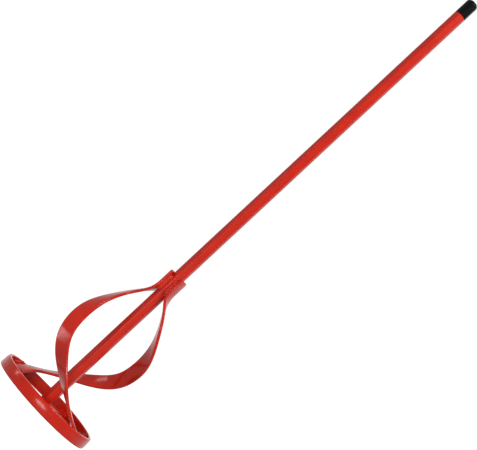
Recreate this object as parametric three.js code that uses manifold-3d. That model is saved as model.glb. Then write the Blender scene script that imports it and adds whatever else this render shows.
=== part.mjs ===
// Drill paint mixer: a hexagonal steel shaft with two twisted strip blades that run down
// to a hoop, a push-on cap over the shank, and the weld beads that hold the steel together.
// Millimetres, +Z up the shaft, origin at the centre of the hoop's lower rim.
import * as THREE from 'three';
import { mergeVertices } from 'three/addons/utils/BufferGeometryUtils.js';
import Module from 'manifold-3d';

const wasm = await Module();
wasm.setup();

// Driving dimensions
const totalLength = 400;
const shaftFlats = 8;
const shaftCorner = 1.2;
const shankLength = 46;
const shankStep = 0.05;
const joint = 2;
const barEase = 0.4;
const hoopDiameter = 80;
const hoopHeight = 8.2;
const hoopWall = 2.2;
const bladeWidth = 10.6;
const bladeThickness = 2;
const barWidth = 10;
const barHeight = 3;
const barEndGap = 0.6;
const capLength = 13.6;
const capWall = 0.45;
const capEndWall = 1.4;
const capEase = 1;
const spigotFlats = 7;
const edgeRound = 0.5;
const gap = 0.25;
const hoopFacets = 72;
const beadFacets = 10;

// Weld beads: length and radius, and where the beads beside the blade's top end stand
const welds = {
  shaft: { length: 13, radius: 1.8, at: [3.2, 3.5, 109.5] },
  hoop: { length: 11, radius: 1.3, firstPlace: 8.5, places: 0.42 },
  barShaft: { length: 8, radius: 1.6 },
  barHoop: { length: 9, radius: 1.5 },
  seam: { length: 6.6, radius: 1.3, angle: -Math.PI / 3 },
};
const beadRipple = 0.06;
const rippleLength = 1.6;

// The blade's route from the shaft down to the hoop, as the corners of a smooth curve: height,
// distance from the axis, turn about the axis in degrees and lean of the outer face in degrees.
const bladeRoute = [
  [125, 5.25, 0, 0],
  [116, 5.25, 0, 0],
  [107, 5.25, 0, 0],
  [98, 15, -7, 32],
  [79, 24, 13, 34],
  [59, 29.5, 47, 58],
  [41.5, 36.5, 72, 6],
  [27, 34.5, 102, -57],
  [12, 33, 138, -114],
  [3.6, 31, 183, -95],
];
const bladeSteps = 80;

const red = { color: 0xc83225, roughness: 0.3, metalness: 0 };
const black = { color: 0x131313, roughness: 0.35, metalness: 0 };

const object = new THREE.Group();

function addPiece(name, geometry, finish) {
  const piece = new THREE.Mesh(geometry, new THREE.MeshStandardMaterial(finish));
  piece.name = name;
  object.add(piece);
  return piece;
}

// Join and cut

function toSolid(geometry) {
  const bare = geometry.clone();
  bare.deleteAttribute('normal');
  bare.deleteAttribute('uv');
  const merged = mergeVertices(bare, 1e-4);
  return new wasm.Manifold(new wasm.Mesh({
    numProp: 3,
    vertProperties: new Float32Array(merged.attributes.position.array),
    triVerts: new Uint32Array(merged.index.array),
  }));
}

function toGeometry(solid) {
  const mesh = solid.getMesh();
  const geometry = new THREE.BufferGeometry();
  geometry.setAttribute('position', new THREE.BufferAttribute(mesh.vertProperties, 3));
  geometry.setIndex(new THREE.BufferAttribute(mesh.triVerts, 1));
  geometry.computeVertexNormals();
  return geometry;
}

function cut(geometry, cutters) {
  const left = cutters.reduce((solid, cutter) => solid.subtract(toSolid(cutter)), toSolid(geometry));
  return toGeometry(left);
}

// Hexagon outline with rounded corners and one pair of flats square to X

function hexOutline(flats, corner) {
  const shape = new THREE.Shape();
  const centreRadius = (flats / 2 - corner) / Math.cos(Math.PI / 6);
  for (let side = 0; side < 6; side += 1) {
    const middle = Math.PI / 6 + (side * Math.PI) / 3;
    const x = centreRadius * Math.cos(middle);
    const y = centreRadius * Math.sin(middle);
    shape.absarc(x, y, corner, middle - Math.PI / 6, middle + Math.PI / 6, false);
  }
  shape.closePath();
  return shape;
}

function hexBar(flats, corner, bottom, top, chamfer = 0) {
  const bar = new THREE.ExtrudeGeometry(hexOutline(flats - 2 * chamfer, corner - chamfer), {
    depth: top - bottom - 2 * chamfer,
    bevelEnabled: chamfer > 0,
    bevelThickness: chamfer,
    bevelSize: chamfer,
    bevelSegments: 1,
    curveSegments: 4,
  });
  return bar.translate(0, 0, bottom + chamfer);
}

// Shaft: the hexagon bar, its shank a hair larger where the chuck grips it, and the spigot in the cap

function shaftGeometry() {
  const capFoot = totalLength - capLength;
  const shankFoot = capFoot - shankLength;
  const spigotTop = totalLength - capEndWall - gap;
  const bar = hexBar(shaftFlats - 2 * shankStep, shaftCorner, barHeight + gap, shankFoot + joint, barEase);
  const shank = hexBar(shaftFlats, shaftCorner, shankFoot, capFoot - gap, barEase);
  const spigot = hexBar(spigotFlats, shaftCorner, capFoot - joint, spigotTop, barEase);
  return toGeometry(toSolid(bar).add(toSolid(shank)).add(toSolid(spigot)));
}

function capGeometry() {
  const capFlats = spigotFlats + 2 * (gap + capWall);
  const foot = totalLength - capLength;
  const outside = hexBar(capFlats, shaftCorner + gap + capWall, foot, totalLength, capEase);
  const inside = hexBar(spigotFlats + 2 * gap, shaftCorner + gap, foot - joint, totalLength - capEndWall);
  return cut(outside, [inside]);
}

// Hoop and the bar across it

function hoopGeometry(grown = 0) {
  const outer = hoopDiameter / 2 + grown;
  const inner = hoopDiameter / 2 - hoopWall - grown;
  const bottom = -grown;
  const top = hoopHeight + grown;
  const ease = barEase;
  const profile = [
    [inner + ease, bottom],
    [outer - ease, bottom],
    [outer, bottom + ease],
    [outer, top - ease],
    [outer - ease, top],
    [inner + ease, top],
    [inner, top - ease],
    [inner, bottom + ease],
    [inner + ease, bottom],
  ].map(([radius, height]) => new THREE.Vector2(radius, height));
  return new THREE.LatheGeometry(profile, hoopFacets).rotateX(Math.PI / 2);
}

function barGeometry(grown = 0) {
  const length = hoopDiameter - 2 * hoopWall - 2 * barEndGap + 2 * grown;
  const outline = roundedRectangle(barWidth + 2 * grown, barHeight + 2 * grown, edgeRound);
  const bar = new THREE.ExtrudeGeometry(outline, { depth: length, bevelEnabled: false, curveSegments: 2 });
  return bar.rotateX(Math.PI / 2).translate(0, length / 2, barHeight / 2);
}

function roundedRectangle(width, height, corner) {
  const x = width / 2 - corner;
  const y = height / 2 - corner;
  const shape = new THREE.Shape();
  shape.absarc(x, y, corner, 0, Math.PI / 2, false);
  shape.absarc(-x, y, corner, Math.PI / 2, Math.PI, false);
  shape.absarc(-x, -y, corner, Math.PI, 1.5 * Math.PI, false);
  shape.absarc(x, -y, corner, 1.5 * Math.PI, 2 * Math.PI, false);
  shape.closePath();
  return shape;
}

// A point of the smooth curve that the rows of bladeRoute pull towards them (a cubic B-spline)

function routeValues(place) {
  const ahead = bladeRoute[0].map((value, column) => 2 * value - bladeRoute[1][column]);
  const beyond = bladeRoute.at(-1).map((value, column) => 2 * value - bladeRoute.at(-2)[column]);
  const rows = [ahead, ...bladeRoute, beyond];
  const start = THREE.MathUtils.clamp(Math.floor(place), 0, bladeRoute.length - 2);
  const t = place - start;
  const pull = [
    (1 - t) ** 3,
    3 * t ** 3 - 6 * t ** 2 + 4,
    -3 * t ** 3 + 3 * t ** 2 + 3 * t + 1,
    t ** 3,
  ];
  return ahead.map((_, column) => {
    const sum = pull.reduce((total, share, i) => total + share * rows[start + i][column], 0);
    return sum / 6;
  });
}

function routePoint(place) {
  const [height, radius, turn] = routeValues(place);
  const angle = THREE.MathUtils.degToRad(turn);
  return new THREE.Vector3(radius * Math.cos(angle), radius * Math.sin(angle), height);
}

// The strip's directions at a place on its route: across its width and out of its outer face

function routeFrame(place) {
  const step = 0.01;
  const values = routeValues(place);
  const turn = THREE.MathUtils.degToRad(values[2]);
  const lean = THREE.MathUtils.degToRad(values[3]);
  const along = routePoint(place + step).sub(routePoint(place - step)).normalize();
  const outward = new THREE.Vector3(Math.cos(turn), Math.sin(turn), 0);
  outward.addScaledVector(along, -outward.dot(along)).normalize();
  const level = new THREE.Vector3().crossVectors(outward, along);
  const width = level.multiplyScalar(Math.cos(lean)).addScaledVector(outward, -Math.sin(lean));
  const face = new THREE.Vector3().crossVectors(along, width);
  return { width, face };
}

// Carry a straight bar's vertices onto the route: x across the strip, y out of its face

function bendAlongRoute(geometry, placeAt, shift = [0, 0]) {
  const position = geometry.attributes.position;
  const vertex = new THREE.Vector3();
  for (let i = 0; i < position.count; i += 1) {
    vertex.fromBufferAttribute(position, i);
    const place = placeAt(vertex.z);
    const { width, face } = routeFrame(place);
    const point = routePoint(place);
    point.addScaledVector(width, vertex.x + shift[0]).addScaledVector(face, vertex.y + shift[1]);
    position.setXYZ(i, point.x, point.y, point.z);
  }
  geometry.computeVertexNormals();
  return geometry;
}

function stripGeometry(grown = 0) {
  const outline = roundedRectangle(bladeWidth + 2 * grown, bladeThickness + 2 * grown, edgeRound);
  const strip = new THREE.ExtrudeGeometry(outline, {
    depth: 1,
    steps: bladeSteps,
    bevelEnabled: false,
    curveSegments: 1,
  });
  return bendAlongRoute(strip, (z) => z * (bladeRoute.length - 1));
}

function bladeGeometry(halfTurn) {
  const strip = stripGeometry().rotateZ(halfTurn);
  return cut(strip, [hoopGeometry(gap)]);
}

// Weld bead: a rippled rod with round ends, standing on the origin

function beadGeometry({ length, radius }) {
  const ripples = Math.round(length / rippleLength);
  const rows = ripples * 2;
  const profile = [new THREE.Vector2(0, 0)];
  for (let row = 1; row < rows; row += 1) {
    const part = row / rows;
    const fromEnd = Math.min(1, (Math.min(part, 1 - part) * length) / radius);
    const roundEnd = Math.sqrt(1 - (1 - fromEnd) ** 2);
    const ripple = 1 + beadRipple * Math.cos(part * ripples * 2 * Math.PI);
    profile.push(new THREE.Vector2(radius * roundEnd * ripple, part * length));
  }
  profile.push(new THREE.Vector2(0, length));
  return new THREE.LatheGeometry(profile, beadFacets).rotateX(Math.PI / 2);
}

// The same bead lying along X across the axis, just above the crossbar

function lyingBead(weld, y) {
  const bead = beadGeometry(weld).translate(0, 0, -weld.length / 2).rotateY(Math.PI / 2);
  return bead.translate(0, y, barHeight + weld.radius / 4);
}

// Each bead is cut clear of the steel that it joins

function grownShaft() {
  return hexBar(shaftFlats + 2 * gap, shaftCorner + gap, 0, totalLength / 2);
}

function shaftWeld(side) {
  const [x, y, foot] = welds.shaft.at;
  const bead = beadGeometry(welds.shaft).translate(x, side * y, foot);
  return cut(bead, [grownShaft(), stripGeometry(gap)]);
}

function hoopWeld(side) {
  const { length, firstPlace, places } = welds.hoop;
  const shift = [bladeWidth / 2 + gap, (side * (bladeThickness + 1)) / 2];
  const bead = bendAlongRoute(beadGeometry(welds.hoop), (z) => firstPlace + (places * z) / length, shift);
  return cut(bead, [hoopGeometry(gap), stripGeometry(gap)]);
}

function barShaftWeld(side) {
  const bead = lyingBead(welds.barShaft, side * (shaftFlats / 2 + welds.barShaft.radius / 2));
  return cut(bead, [grownShaft(), barGeometry(gap)]);
}

function barHoopWeld(side) {
  const innerRadius = hoopDiameter / 2 - hoopWall;
  const bead = lyingBead(welds.barHoop, side * (innerRadius - welds.barHoop.radius / 2));
  return cut(bead, [hoopGeometry(gap), barGeometry(gap)]);
}

function seamWeld() {
  const { length, angle } = welds.seam;
  const radius = hoopDiameter / 2 - hoopWall - gap;
  const foot = (hoopHeight - length) / 2;
  const bead = beadGeometry(welds.seam).translate(radius * Math.cos(angle), radius * Math.sin(angle), foot);
  return cut(bead, [hoopGeometry(gap)]);
}

addPiece('hex_shaft', shaftGeometry(), red);
addPiece('shank_cap', capGeometry(), black);
addPiece('hoop', hoopGeometry(), red);
addPiece('hoop_crossbar', barGeometry(), red);
addPiece('weld_hoop_seam', seamWeld(), red);

for (const [letter, halfTurn] of [['a', Math.PI], ['b', 0]]) {
  addPiece(`blade_${letter}`, bladeGeometry(halfTurn), red);
  for (const [where, side] of [['left', -1], ['right', 1]]) {
    addPiece(`weld_blade_${letter}_shaft_${where}`, shaftWeld(side).rotateZ(halfTurn), red);
  }
  for (const [where, side] of [['over', -1], ['under', 1]]) {
    addPiece(`weld_blade_${letter}_hoop_${where}`, hoopWeld(side).rotateZ(halfTurn), red);
  }
  const end = letter === 'a' ? -1 : 1;
  addPiece(`weld_bar_shaft_${letter}`, barShaftWeld(end), red);
  addPiece(`weld_bar_hoop_${letter}`, barHoopWeld(end), red);
}

export default object;
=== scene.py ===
from math import cos, sin, pi, radians, tan

import bmesh
import bpy
from mathutils import Euler, Matrix, Vector, noise


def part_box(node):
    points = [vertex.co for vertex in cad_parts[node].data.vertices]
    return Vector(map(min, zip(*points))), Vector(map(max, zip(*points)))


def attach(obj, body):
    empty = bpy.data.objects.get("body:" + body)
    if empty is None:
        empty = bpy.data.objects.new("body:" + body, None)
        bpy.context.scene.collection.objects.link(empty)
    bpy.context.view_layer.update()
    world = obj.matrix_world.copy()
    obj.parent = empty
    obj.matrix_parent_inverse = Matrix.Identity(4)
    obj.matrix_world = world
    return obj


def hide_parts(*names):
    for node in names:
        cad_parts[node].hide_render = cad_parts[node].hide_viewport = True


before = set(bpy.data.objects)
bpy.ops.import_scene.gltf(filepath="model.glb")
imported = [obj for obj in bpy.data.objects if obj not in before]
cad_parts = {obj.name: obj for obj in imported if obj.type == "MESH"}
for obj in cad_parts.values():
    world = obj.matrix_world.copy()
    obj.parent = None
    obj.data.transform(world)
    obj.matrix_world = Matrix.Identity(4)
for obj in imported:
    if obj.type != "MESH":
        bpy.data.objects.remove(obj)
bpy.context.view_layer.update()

MM = 0.001


# ---------------------------------------------------------------- sizes, from the frame

def size_of(node):
    low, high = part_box(node)
    return [high[axis] - low[axis] for axis in range(3)]


HOOP_RADIUS = size_of("hoop")[0] / 2
HOOP_HEIGHT = size_of("hoop")[2]
HOOP_WALL = 2.2 * MM
HOOP_ROUND = 0.55 * MM
HOOP_CROWN = 0.35 * MM
HOOP_LEAN = 0.45 * MM
BAR_WIDTH, BAR_LENGTH, BAR_HEIGHT = size_of("hoop_crossbar")
SHAFT_FLATS = size_of("hex_shaft")[0]
SHAFT_BOTTOM = BAR_HEIGHT
SHAFT_CORNER = 1.2 * MM
CAP_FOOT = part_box("shank_cap")[0][2]
CAP_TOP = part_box("shank_cap")[1][2]
CAP_FLATS = size_of("shank_cap")[0]
CAP_CORNER = 2.6 * MM
CAP_TOP_ROUND = 2.3 * MM
CAP_END_WALL = 1.4 * MM
SPIGOT_FLATS = 7 * MM
SPIGOT_LENGTH = 12 * MM
SPIGOT_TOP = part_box("hex_shaft")[1][2]
CAP_WALL = 0.45 * MM
BLADE_WIDTH = 10.6 * MM
BLADE_THICKNESS = 2 * MM

# The blades' route down from the shaft, as the corners of a smooth curve: height, distance from
# the axis, turn about the axis in degrees and lean of the outer face in degrees.
BLADE_ROUTE = [
    (125, 5.05, 0, 0),
    (116, 5.05, 0, 0),
    (107, 5.05, 0, 0),
    (98, 15, -7, 32),
    (79, 24, 13, 34),
    (59, 29.5, 47, 58),
    (41.5, 36.5, 72, 6),
    (27, 34.5, 102, -57),
    (12, 33, 138, -114),
    (3.6, 31, 183, -95),
]


# ---------------------------------------------------------------- nodes for materials

class Finish:
    """A material under construction: its nodes and links."""

    def __init__(self, name):
        self.material = bpy.data.materials.new(name)
        self.material.use_nodes = True
        self.nodes = self.material.node_tree.nodes
        self.links = self.material.node_tree.links
        self.shader = self.nodes["Principled BSDF"]
        self.place = self.nodes.new("ShaderNodeTexCoord").outputs["Object"]

    def noise(self, size, detail=3.0):
        pattern = self.nodes.new("ShaderNodeTexNoise")
        pattern.inputs["Scale"].default_value = 1 / size
        pattern.inputs["Detail"].default_value = detail
        self.links.new(self.place, pattern.inputs["Vector"])
        return pattern.outputs["Fac"]

    def between(self, value, low, high, new_low=0.0, new_high=1.0):
        node = self.nodes.new("ShaderNodeMapRange")
        node.inputs["From Min"].default_value = low
        node.inputs["From Max"].default_value = high
        node.inputs["To Min"].default_value = new_low
        node.inputs["To Max"].default_value = new_high
        self.links.new(value, node.inputs["Value"])
        return node.outputs["Result"]

    def mix(self, share, first, second):
        node = self.nodes.new("ShaderNodeMix")
        node.data_type = "RGBA"
        self.links.new(share, node.inputs["Factor"])
        for colour, name in ((first, "A"), (second, "B")):
            socket = next(s for s in node.inputs if s.name == name and s.type == "RGBA")
            if isinstance(colour, tuple):
                socket.default_value = (*colour, 1)
            else:
                self.links.new(colour, socket)
        return next(s for s in node.outputs if s.type == "RGBA")

    def bump(self, height, distance, below=None):
        node = self.nodes.new("ShaderNodeBump")
        node.inputs["Distance"].default_value = distance
        self.links.new(height, node.inputs["Height"])
        if below:
            self.links.new(below, node.inputs["Normal"])
        return node.outputs["Normal"]

    def use(self, **sockets):
        for name, value in sockets.items():
            socket = self.shader.inputs[name.replace("_", " ")]
            if isinstance(value, bpy.types.NodeSocket):
                self.links.new(value, socket)
            else:
                socket.default_value = value


def enamel(name, colour, deep, peel, gloss=(0.17, 0.2)):
    """Glossy enamel sprayed on steel: slightly uneven film, soft orange peel, faint dust."""
    finish = Finish(name)
    cloud = finish.between(finish.noise(9 * MM), 0.35, 0.65)
    base = finish.mix(cloud, colour, deep)
    speck = finish.between(finish.noise(0.7 * MM, 5), 0.62, 0.75)
    base = finish.mix(speck, base, tuple(c * 0.8 for c in colour))
    rough = finish.between(finish.noise(11 * MM, 1), 0.3, 0.7, *gloss)
    skin = finish.bump(finish.noise(2.4 * MM, 1), peel)
    skin = finish.bump(finish.noise(9 * MM, 1), peel * 3, below=skin)
    finish.use(Base_Color=base, Roughness=rough, Normal=skin, IOR=1.5, Specular_IOR_Level=0.18)
    return finish.material


def dipped_plastic(name):
    """Thin black plastic the shank is dipped in: glossy, with slow ripples."""
    finish = Finish(name)
    cloud = finish.between(finish.noise(3 * MM), 0.4, 0.7)
    base = finish.mix(cloud, (0.0025, 0.0025, 0.0025), (0.005, 0.005, 0.005))
    rough = finish.between(finish.noise(5 * MM, 2), 0.3, 0.75, 0.2, 0.27)
    skin = finish.bump(finish.noise(2.2 * MM, 2), 0.008 * MM)
    finish.use(Base_Color=base, Roughness=rough, Normal=skin, IOR=1.5, Specular_IOR_Level=0.06)
    return finish.material


COLOUR = (0.62, 0.018, 0.004)
DEEP_COLOUR = (0.56, 0.014, 0.003)
PEEL = 0.003 * MM
RED = enamel("red_enamel", COLOUR, DEEP_COLOUR, PEEL)
BAR_RED = enamel("red_enamel_on_bar", COLOUR, DEEP_COLOUR, PEEL, (0.27, 0.31))
WELD_RED = enamel("red_enamel_on_weld", (0.60, 0.017, 0.004), (0.52, 0.012, 0.003), 1.3 * PEEL,
                  (0.24, 0.3))
BLACK = dipped_plastic("black_dipped_plastic")


# ---------------------------------------------------------------- making pieces

def finish_piece(name, bm, material, body, stands_for, angle=40, flats=False):
    bmesh.ops.remove_doubles(bm, verts=bm.verts, dist=1e-7)
    mesh = bpy.data.meshes.new(name)
    bm.to_mesh(mesh)
    bm.free()
    mesh.shade_smooth()
    mesh.set_sharp_from_angle(angle=radians(angle))
    mesh.materials.append(material)
    piece = bpy.data.objects.new(name, mesh)
    bpy.context.scene.collection.objects.link(piece)
    if flats:
        piece.modifiers.new("flats_shade_flat", "WEIGHTED_NORMAL").keep_sharp = True
    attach(piece, body)
    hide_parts(*stands_for)


def turned(bm, angle):
    bmesh.ops.rotate(bm, verts=bm.verts, cent=(0, 0, 0), matrix=Matrix.Rotation(angle, 3, "Z"))


def long_edges(bm):
    """The edges that run up a bar standing on Z."""
    return [e for e in bm.edges if abs((e.verts[0].co - e.verts[1].co).normalized().z) > 0.99]


def round_off(bm, edges, offset, segments):
    bmesh.ops.bevel(bm, geom=edges, offset=offset, segments=segments, profile=0.5, material=-1,
                    affect="EDGES", offset_type="OFFSET", clamp_overlap=True)


def hex_bar(flats, corner, bottom, top):
    """A closed hexagonal bar with rounded long edges and a pair of flats square to X."""
    bm = bmesh.new()
    made = bmesh.ops.create_circle(bm, cap_ends=True, segments=6, radius=flats / 2 / cos(pi / 6))
    bmesh.ops.translate(bm, verts=made["verts"], vec=(0, 0, bottom))
    grown = bmesh.ops.extrude_face_region(bm, geom=list(bm.faces))
    tops = [v for v in grown["geom"] if isinstance(v, bmesh.types.BMVert)]
    bmesh.ops.translate(bm, verts=tops, vec=(0, 0, top - bottom))
    bmesh.ops.recalc_face_normals(bm, faces=bm.faces)
    round_off(bm, long_edges(bm), corner * tan(radians(30)), 8)
    return bm


# ---------------------------------------------------------------- the shaft and its cap

def shaft():
    bm = hex_bar(SHAFT_FLATS, SHAFT_CORNER, SHAFT_BOTTOM, SPIGOT_TOP - SPIGOT_LENGTH)
    top = max(bm.faces, key=lambda f: f.calc_center_median().z)
    bmesh.ops.inset_region(bm, faces=[top], thickness=(SHAFT_FLATS - SPIGOT_FLATS) / 2)
    grown = bmesh.ops.extrude_face_region(bm, geom=[top])
    bmesh.ops.delete(bm, geom=[top], context="FACES_ONLY")
    tops = [v for v in grown["geom"] if isinstance(v, bmesh.types.BMVert)]
    bmesh.ops.translate(bm, verts=tops, vec=(0, 0, SPIGOT_LENGTH))
    ends = [f for f in bm.faces if abs(f.normal.z) > 0.99 and len(f.verts) > 8]
    rims = {e for f in ends for e in f.edges}
    round_off(bm, list(rims), 0.35 * MM, 2)
    finish_piece("shaft", bm, BAR_RED, "mixer", ["hex_shaft"], flats=True)


def cap():
    bm = hex_bar(CAP_FLATS, CAP_CORNER, CAP_FOOT, CAP_TOP)
    top = max(bm.faces, key=lambda f: f.calc_center_median().z)
    round_off(bm, list(top.edges), CAP_TOP_ROUND, 8)
    foot = min(bm.faces, key=lambda f: f.calc_center_median().z)
    bmesh.ops.inset_region(bm, faces=[foot], thickness=CAP_WALL)
    grown = bmesh.ops.extrude_face_region(bm, geom=[foot])
    bmesh.ops.delete(bm, geom=[foot], context="FACES_ONLY")
    inner = [v for v in grown["geom"] if isinstance(v, bmesh.types.BMVert)]
    bmesh.ops.translate(bm, verts=inner, vec=(0, 0, CAP_TOP - CAP_FOOT - CAP_END_WALL))
    bmesh.ops.recalc_face_normals(bm, faces=bm.faces)
    finish_piece("shank_cap_dipped", bm, BLACK, "cap", ["shank_cap"], flats=True)


# ---------------------------------------------------------------- the hoop and its bar

def hoop():
    bm = bmesh.new()
    bmesh.ops.create_grid(bm, x_segments=1, y_segments=1, size=0.5)
    bmesh.ops.scale(bm, verts=bm.verts, vec=(HOOP_WALL, HOOP_HEIGHT, 1))
    bmesh.ops.rotate(bm, verts=bm.verts, cent=(0, 0, 0), matrix=Matrix.Rotation(pi / 2, 3, "X"))
    bmesh.ops.translate(bm, verts=bm.verts, vec=(HOOP_RADIUS - HOOP_WALL / 2, 0, HOOP_HEIGHT / 2))
    bmesh.ops.bevel(bm, geom=bm.verts[:], offset=HOOP_ROUND, segments=4, profile=0.5, material=-1,
                    affect="VERTICES")
    bmesh.ops.delete(bm, geom=bm.faces[:], context="FACES_ONLY")
    walls = [e for e in bm.edges if e.calc_length() > HOOP_HEIGHT / 2]
    bmesh.ops.subdivide_edges(bm, edges=walls, cuts=12)
    for vert in bm.verts:
        height = 2 * vert.co.z / HOOP_HEIGHT - 1
        vert.co.x -= HOOP_CROWN * height ** 2 + HOOP_LEAN * (height + 1) / 2
    bmesh.ops.spin(bm, geom=bm.verts[:] + bm.edges[:], cent=(0, 0, 0), axis=(0, 0, 1),
                   angle=2 * pi, steps=180, use_merge=True, use_duplicate=False)
    bmesh.ops.remove_doubles(bm, verts=bm.verts, dist=1e-6)
    bmesh.ops.recalc_face_normals(bm, faces=bm.faces)
    finish_piece("hoop_rolled", bm, RED, "mixer", ["hoop"])


def crossbar():
    bm = bmesh.new()
    bmesh.ops.create_cube(bm, size=1)
    bmesh.ops.scale(bm, verts=bm.verts, vec=(BAR_WIDTH, BAR_LENGTH, BAR_HEIGHT))
    bmesh.ops.translate(bm, verts=bm.verts, vec=(0, 0, BAR_HEIGHT / 2))
    round_off(bm, bm.edges[:], 0.5 * MM, 3)
    finish_piece("crossbar", bm, RED, "mixer", ["hoop_crossbar"], flats=True)


# ---------------------------------------------------------------- the blades

def route_values(place):
    """A point of the smooth curve that the rows of BLADE_ROUTE pull towards them."""
    before = [2 * a - b for a, b in zip(BLADE_ROUTE[0], BLADE_ROUTE[1])]
    after = [2 * a - b for a, b in zip(BLADE_ROUTE[-1], BLADE_ROUTE[-2])]
    rows = [before, *BLADE_ROUTE, after]
    start = min(max(int(place), 0), len(BLADE_ROUTE) - 2)
    t = place - start
    pull = ((1 - t) ** 3, 3 * t ** 3 - 6 * t ** 2 + 4, -3 * t ** 3 + 3 * t ** 2 + 3 * t + 1, t ** 3)
    return [sum(pull[i] * rows[start + i][column] for i in range(4)) / 6 for column in range(4)]


def route_point(place):
    height, radius, turn, _ = route_values(place)
    return Vector((radius * cos(radians(turn)), radius * sin(radians(turn)), height)) * MM


def strip_frame(place):
    """The strip's place there: x across its width, y out of its outer face, z along it."""
    _, _, turn, lean = route_values(place)
    along = (route_point(place + 0.01) - route_point(place - 0.01)).normalized()
    outward = Vector((cos(radians(turn)), sin(radians(turn)), 0))
    outward = (outward - along * outward.dot(along)).normalized()
    width = outward.cross(along) * cos(radians(lean)) - outward * sin(radians(lean))
    face = along.cross(width)
    return Matrix.Translation(route_point(place)) @ Matrix((width, face, along)).transposed().to_4x4()


def sweep(bm, profile, places, frame_at):
    """Carry a closed outline from frame to frame, extruding as it goes, and close both ends."""
    for vert in profile:
        vert.co = frame_at(places[0]) @ vert.co
    ring = [e for e in bm.edges if e.verts[0] in profile and e.verts[1] in profile]
    first = ring
    for here, there in zip(places, places[1:]):
        grown = bmesh.ops.extrude_edge_only(bm, edges=ring)["geom"]
        verts = [g for g in grown if isinstance(g, bmesh.types.BMVert)]
        ring = [g for g in grown if isinstance(g, bmesh.types.BMEdge)
                and g.verts[0] in verts and g.verts[1] in verts]
        step = frame_at(there) @ frame_at(here).inverted()
        bmesh.ops.transform(bm, matrix=step, verts=verts)
    for rim in (first, ring):
        bmesh.ops.contextual_create(bm, geom=rim)
    bmesh.ops.recalc_face_normals(bm, faces=bm.faces)


def blade(letter, turn):
    bm = bmesh.new()
    bmesh.ops.create_grid(bm, x_segments=1, y_segments=1, size=0.5)
    bmesh.ops.scale(bm, verts=bm.verts, vec=(BLADE_WIDTH, BLADE_THICKNESS, 1))
    bmesh.ops.bevel(bm, geom=bm.verts[:], offset=0.7 * MM, segments=4, profile=0.5, material=-1,
                    affect="VERTICES")
    bmesh.ops.delete(bm, geom=bm.faces[:], context="FACES_ONLY")
    steps = 260
    last = len(BLADE_ROUTE) - 1
    corner = 0.16
    fine = [corner * (step / 12) ** 2 for step in range(12)]
    places = fine + [corner + (last - corner) * step / steps for step in range(steps + 1)]

    def frame_at(place):
        """The top end's corners are ground round, so the strip starts narrower."""
        short = max(0, 1 - place / corner)
        narrower = 1 - 0.42 * (1 - (1 - short ** 2) ** 0.5)
        return strip_frame(place) @ Matrix.Diagonal((narrower, 1, 1, 1))

    sweep(bm, bm.verts[:], places, frame_at)
    turned(bm, turn)
    ends = [f for f in bm.faces if len(f.verts) > 8]
    round_off(bm, list({e for f in ends for e in f.edges}), 0.3 * MM, 2)
    finish_piece(f"blade_{letter}_twisted", bm, RED, "mixer", [f"blade_{letter}"])


# ---------------------------------------------------------------- weld beads

def bead(name, length, radius, place_it, stands_for, seed, flat=1.0, tilt=0.0):
    """A weld bead: a rod of overlapping ripples with round ends, slightly uneven all over."""
    bm = bmesh.new()
    made = bmesh.ops.create_circle(bm, segments=20, radius=radius)
    ripple = 3.3 * MM
    steps = int(length / (0.16 * MM))

    def frame_at(step):
        along = step / steps * length
        from_end = min(1, min(along, length - along) / radius + 0.02)
        round_end = (1 - (1 - from_end) ** 2) ** 0.5
        wave = 1 + 0.07 * cos(2 * pi * along / ripple)
        size = round_end * wave
        lean = Matrix.Rotation(tilt, 4, "Z")
        return Matrix.Translation((0, 0, along)) @ lean @ Matrix.Diagonal((size, size * flat, 1, 1))

    sweep(bm, made["verts"], list(range(steps + 1)), frame_at)
    for vert in bm.verts:
        bump = noise.noise(vert.co / (3 * MM) + Vector((seed * 7.3, 0, 0)))
        side = Vector((vert.co.x, vert.co.y, 0))
        vert.co += side * 0.2 * bump
    place_it(bm)
    bmesh.ops.recalc_face_normals(bm, faces=bm.faces)
    finish_piece(name, bm, WELD_RED, "mixer", stands_for, angle=180)


def shaft_bead(letter, turn, where, side, seed):
    def place_it(bm):
        bmesh.ops.translate(bm, verts=bm.verts, vec=(2.9 * MM, side * 3.6 * MM, 109 * MM))
        turned(bm, turn)
    bead(f"bead_blade_{letter}_shaft_{where}", 13.5 * MM, 2.1 * MM, place_it,
         [f"weld_blade_{letter}_shaft_{where}"], seed, flat=0.55, tilt=side * radians(22))


def hoop_bead(letter, turn, where, side, seed):
    length = 11 * MM

    def place_it(bm):
        for vert in bm.verts:
            at = 8.5 + 0.42 * vert.co.z / length
            across = BLADE_WIDTH / 2 + 0.2 * MM + vert.co.x
            out = side * (BLADE_THICKNESS / 2 + 0.3 * MM) + vert.co.y
            vert.co = strip_frame(at) @ Vector((across, out, 0))
        turned(bm, turn)
    bead(f"bead_blade_{letter}_hoop_{where}", length, 1.3 * MM, place_it,
         [f"weld_blade_{letter}_hoop_{where}"], seed)


def bar_bead(joined_to, letter, along_bar, length, radius, seed):
    def place_it(bm):
        bmesh.ops.translate(bm, verts=bm.verts, vec=(0, 0, -length / 2))
        bmesh.ops.rotate(bm, verts=bm.verts, cent=(0, 0, 0), matrix=Matrix.Rotation(pi / 2, 3, "Y"))
        bmesh.ops.translate(bm, verts=bm.verts, vec=(0, along_bar, BAR_HEIGHT - 0.1 * MM))
    bead(f"bead_bar_{joined_to}_{letter}", length, radius, place_it,
         [f"weld_bar_{joined_to}_{letter}"], seed)


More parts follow.
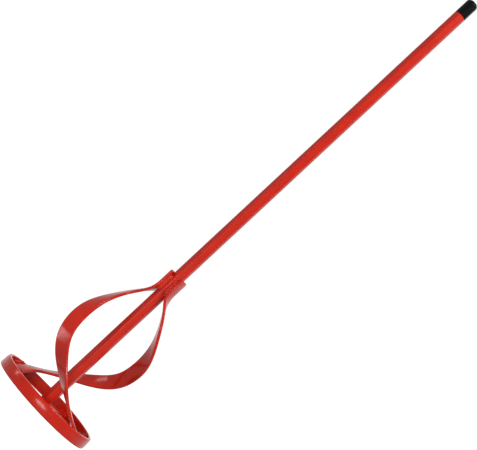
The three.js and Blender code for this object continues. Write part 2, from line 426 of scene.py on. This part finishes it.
def seam_bead():
    inner = HOOP_RADIUS - HOOP_WALL
    angle = -pi / 3

    def place_it(bm):
        centre = (inner * cos(angle), inner * sin(angle), 0.8 * MM)
        bmesh.ops.translate(bm, verts=bm.verts, vec=centre)
    bead("bead_hoop_seam", HOOP_HEIGHT - 1.6 * MM, 1.2 * MM, place_it, ["weld_hoop_seam"], 40)


shaft()
cap()
hoop()
crossbar()
seam_bead()
for number, (letter, turn) in enumerate((("a", pi), ("b", 0))):
    blade(letter, turn)
    shaft_bead(letter, turn, "left", -1, 3 + number)
    shaft_bead(letter, turn, "right", 1, 7 + number)
    hoop_bead(letter, turn, "over", -1, 11 + number)
    hoop_bead(letter, turn, "under", 1, 15 + number)
    end = -1 if letter == "a" else 1
    bar_bead("shaft", letter, end * 4.7 * MM, 8 * MM, 1.5 * MM, 20 + number)
    bar_bead("hoop", letter, end * 37.3 * MM, 9 * MM, 1.0 * MM, 30 + number)


# ---------------------------------------------------------------- floor, light and camera

def pale_floor():
    bm = bmesh.new()
    bmesh.ops.create_grid(bm, x_segments=1, y_segments=1, size=6)
    mesh = bpy.data.meshes.new("floor")
    bm.to_mesh(mesh)
    bm.free()
    material = bpy.data.materials.new("white_floor")
    material.use_nodes = True
    nodes = material.node_tree.nodes
    links = material.node_tree.links
    shader = nodes["Principled BSDF"]
    shader.inputs["Base Color"].default_value = (0.4, 0.4, 0.4, 1)
    shader.inputs["Roughness"].default_value = 0.9
    path = nodes.new("ShaderNodeLightPath")
    glow = nodes.new("ShaderNodeEmission")
    either = nodes.new("ShaderNodeMath")
    either.operation = "MAXIMUM"
    links.new(path.outputs["Is Camera Ray"], either.inputs[0])
    links.new(path.outputs["Is Glossy Ray"], either.inputs[1])
    strength = nodes.new("ShaderNodeMath")
    strength.operation = "MULTIPLY"
    strength.inputs[1].default_value = 0.9
    links.new(either.outputs[0], strength.inputs[0])
    links.new(strength.outputs[0], glow.inputs["Strength"])
    both = nodes.new("ShaderNodeAddShader")
    links.new(shader.outputs[0], both.inputs[0])
    links.new(glow.outputs[0], both.inputs[1])
    links.new(both.outputs[0], nodes["Material Output"].inputs["Surface"])
    mesh.materials.append(material)
    floor = bpy.data.objects.new("floor", mesh)
    bpy.context.scene.collection.objects.link(floor)


def white_world():
    world = bpy.data.worlds.new("studio")
    bpy.context.scene.world = world
    world.use_nodes = True
    nodes = world.node_tree.nodes
    links = world.node_tree.links
    light = nodes["Background"]
    light.inputs["Color"].default_value = (1, 1, 1, 1)
    light.inputs["Strength"].default_value = 0.13
    backdrop = nodes.new("ShaderNodeBackground")
    backdrop.inputs["Color"].default_value = (1, 1, 1, 1)
    path = nodes.new("ShaderNodeLightPath")
    either = nodes.new("ShaderNodeMath")
    either.operation = "MAXIMUM"
    links.new(path.outputs["Is Camera Ray"], either.inputs[0])
    links.new(path.outputs["Is Glossy Ray"], either.inputs[1])
    choose = nodes.new("ShaderNodeMixShader")
    links.new(either.outputs[0], choose.inputs["Fac"])
    links.new(light.outputs[0], choose.inputs[1])
    links.new(backdrop.outputs[0], choose.inputs[2])
    links.new(choose.outputs[0], nodes["World Output"].inputs["Surface"])


def softbox(name, turn, height, distance, size, light):
    """A softbox aimed at the middle of the blades, from a turn about Z and a height in degrees.
    Its light is what it gives a surface facing it, where 1 shows colours as they are."""
    lamp = bpy.data.lights.new(name, "AREA")
    lamp.shape = "RECTANGLE"
    lamp.size, lamp.size_y = size
    lamp.energy = light * (pi * distance) ** 2
    body = bpy.data.objects.new(name, lamp)
    middle = Vector((0, 0, 0.1))
    level = distance * cos(radians(height))
    away = Vector((level * cos(radians(turn)), level * sin(radians(turn)), distance * sin(radians(height))))
    body.location = middle + away
    aim = -away
    body.rotation_euler = aim.to_track_quat("-Z", "Y").to_euler()
    bpy.context.scene.collection.objects.link(body)


def camera():
    lens = bpy.data.cameras.new("camera")
    lens.sensor_width = 36
    lens.lens = 105.45
    lens.clip_start = 0.01
    eye = bpy.data.objects.new("camera", lens)
    eye.location = (0.32282, -0.88255, 0.11538)
    eye.rotation_euler = Euler((radians(95.58), radians(-46.938), radians(15.917)))
    bpy.context.scene.collection.objects.link(eye)
    bpy.context.scene.camera = eye


pale_floor()
white_world()
softbox("key", -34, 44, 1.3, (0.4, 0.4), 0.66)
softbox("left", -153, 11, 1.2, (0.1, 0.6), 0.2)
softbox("low", -72, -2, 1.3, (0.5, 0.1), 0.3)
camera()
bpy.context.scene.view_settings.view_transform = "Standard"
